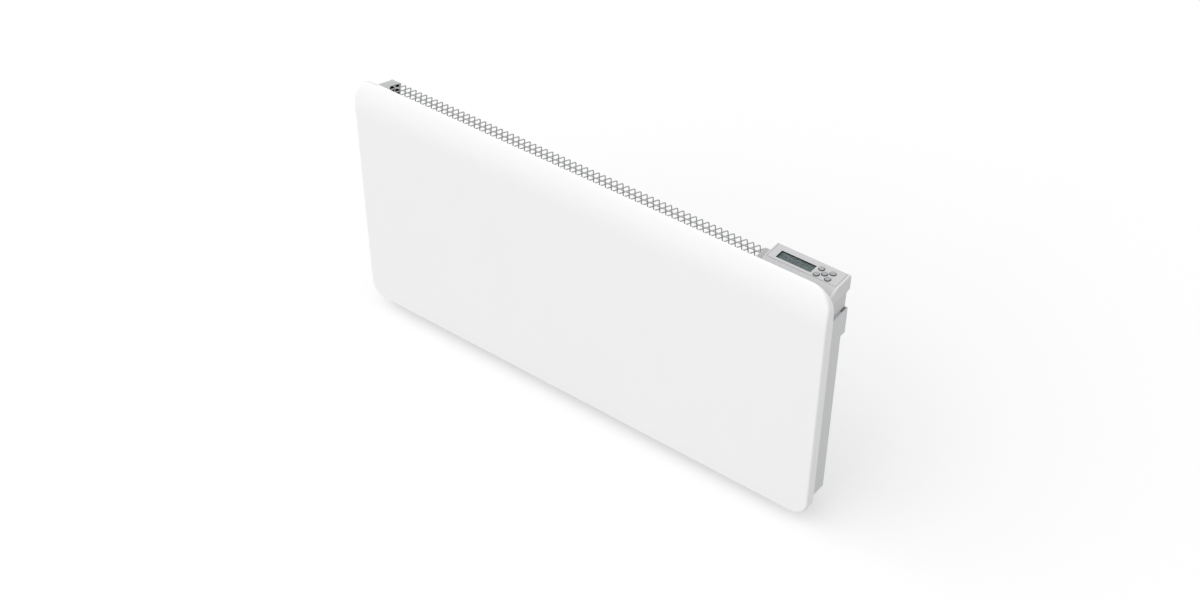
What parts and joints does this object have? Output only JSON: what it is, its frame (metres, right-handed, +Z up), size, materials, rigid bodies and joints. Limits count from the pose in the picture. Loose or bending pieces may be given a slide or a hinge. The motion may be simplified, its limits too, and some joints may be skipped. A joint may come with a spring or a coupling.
{
  "type": "wall panel convector heater",
  "caption": "Slim electric panel convector on a wall bracket, with a rounded front sheet, a diamond mesh air outlet and a keypad with a display at the top right.",
  "frame": {"origin": "centre of the four wall screws, in the plane of the wall", "axes": "+Z up, +X along the heater towards the controls, +Y into the wall; the front panel faces -Y"},
  "size_m": [0.86, 0.074, 0.4299],
  "materials": {
    "coated_white": "semi-gloss powder coat",
    "coated_grey": "matt powder coat",
    "galvanised": "galvanised",
    "moulded_grey": "fine texture",
    "fascia_grey": "satin",
    "key_grey": "satin",
    "window_clear": "clear",
    "display_face": "satin",
    "board_green": "solder mask",
    "black_mould": "satin",
    "film_yellow": "tape",
    "screw_zinc": "zinc plated",
    "finned_alloy": "as extruded",
    "sheath_steel": "drawn",
    "ceramic_white": "unglazed",
    "lead_sleeve": "matt",
    "brass_pins": "machined",
    "terminal_white": "satin"
  },
  "bodies": {
    "wall_mount": {"wall_bracket": "coated_grey"},
    "heater": {"front_panel": "coated_white", "rear_casing": "galvanised", "left_cheek": "coated_grey", "right_cheek": "coated_grey", "left_end_cap": "moulded_grey", "top_grille": "coated_grey", "control_housing": "moulded_grey", "control_fascia": "fascia_grey", "display_window": "window_clear", "display_module": "display_face", "key_switches": "black_mould", "control_board": "board_green", "board_screws": "screw_zinc", "power_board": "board_green", "relay": "black_mould", "transformer": "film_yellow", "filter_capacitor": "film_yellow", "board_terminal": "terminal_white", "ribbon_cable": "lead_sleeve", "element_body": "finned_alloy", "element_sheath": "sheath_steel", "element_insulators": "ceramic_white", "element_bracket": "galvanised", "heat_shield": "galvanised", "thermal_cutout": "sheath_steel", "cord_gland": "black_mould", "gland_nut": "black_mould", "clamp_block": "terminal_white", "cord_clamp": "terminal_white", "clamp_screws": "screw_zinc", "terminal_block": "terminal_white", "terminal_screws": "brass_pins", "supply_leads": "lead_sleeve", "element_leads": "lead_sleeve", "sensor_clip": "black_mould", "room_sensor": "black_mould", "sensor_lead": "lead_sleeve", "panel_screws": "screw_zinc", "grille_screws": "screw_zinc", "casing_screws": "screw_zinc", "shield_screws": "screw_zinc"},
    "key_centre": {"key_centre": "key_grey"},
    "key_rear_left": {"key_rear_left": "key_grey"},
    "key_rear_right": {"key_rear_right": "key_grey"},
    "key_front_left": {"key_front_left": "key_grey"},
    "key_front_right": {"key_front_right": "key_grey"}
  },
  "joints": [
    {"name": "heater_lift", "type": "slide", "parent": "wall_mount", "child": "heater", "axis": [0, 0, 1], "range_m": [0, 0.012]},
    {"name": "key_centre_press", "type": "slide", "parent": "heater", "child": "key_centre", "axis": [0, 0, -1], "range_m": [0, 0.0008], "stiffness_N_per_m": 300},
    {"name": "key_rear_left_press", "type": "slide", "parent": "heater", "child": "key_rear_left", "axis": [0, 0, -1], "range_m": [0, 0.0008], "stiffness_N_per_m": 300},
    {"name": "key_rear_right_press", "type": "slide", "parent": "heater", "child": "key_rear_right", "axis": [0, 0, -1], "range_m": [0, 0.0008], "stiffness_N_per_m": 300},
    {"name": "key_front_left_press", "type": "slide", "parent": "heater", "child": "key_front_left", "axis": [0, 0, -1], "range_m": [0, 0.0008], "stiffness_N_per_m": 300},
    {"name": "key_front_right_press", "type": "slide", "parent": "heater", "child": "key_front_right", "axis": [0, 0, -1], "range_m": [0, 0.0008], "stiffness_N_per_m": 300}
  ]
}
